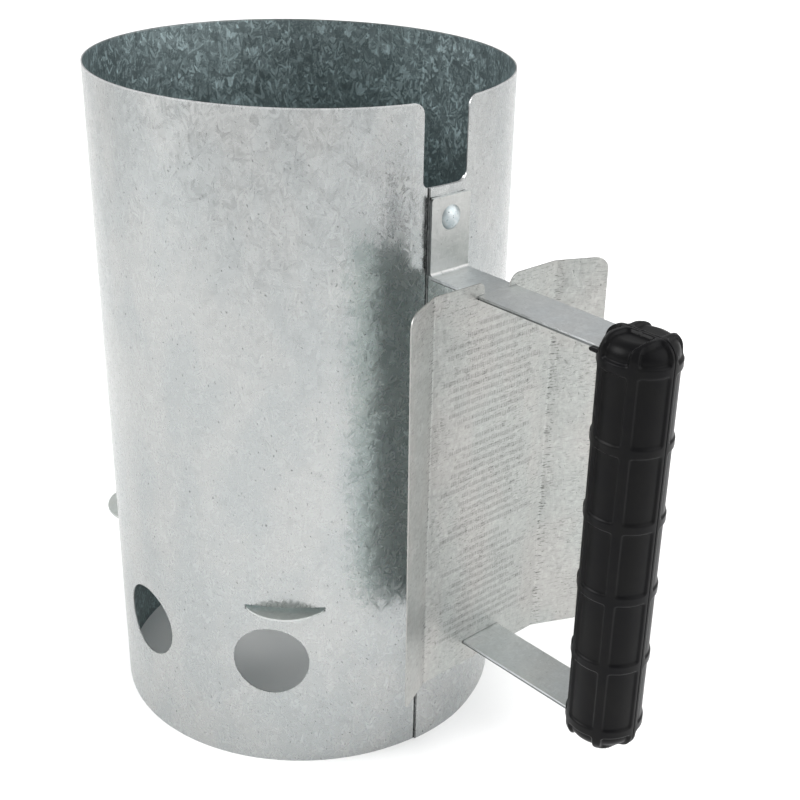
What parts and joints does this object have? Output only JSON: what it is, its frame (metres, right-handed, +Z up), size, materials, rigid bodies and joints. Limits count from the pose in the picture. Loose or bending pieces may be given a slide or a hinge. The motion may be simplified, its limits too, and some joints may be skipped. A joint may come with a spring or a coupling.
{
  "type": "chimney charcoal starter",
  "caption": "Open sheet-steel cylinder with draught holes, an inner charcoal grate, a bent heat shield and a strap handle with a ribbed black grip.",
  "frame": {"origin": "on the cylinder's axis at its bottom edge, which is the plane the object stands on", "axes": "+Z up along the cylinder's axis, +X from the axis towards the handle, +Y to the left when looking out along +X"},
  "size_m": [0.3128, 0.19, 0.314],
  "materials": {
    "galvanized_sheet": "hot-dip galvanized, pale blue grey with a fine spangle, satin",
    "grate_sheet": "galvanized sheet, satin",
    "shield_sheet": "galvanized sheet, slightly warm grey, satin, finely scratched",
    "strap_steel": "galvanized flat bar, satin",
    "grip_plastic": "black moulded plastic, satin",
    "rivet_metal": "bright, slightly pitted",
    "screw_steel": "zinc plated, satin"
  },
  "bodies": {
    "root": {"chimney_body": "galvanized_sheet", "charcoal_grate": "grate_sheet", "heat_shield": "shield_sheet", "handle_strap": "strap_steel", "grip_half_left": "grip_plastic", "grip_half_right": "grip_plastic", "upper_rivet": "rivet_metal", "lower_rivet": "rivet_metal", "upper_grip_screw": "screw_steel", "lower_grip_screw": "screw_steel"}
  },
  "joints": []
}
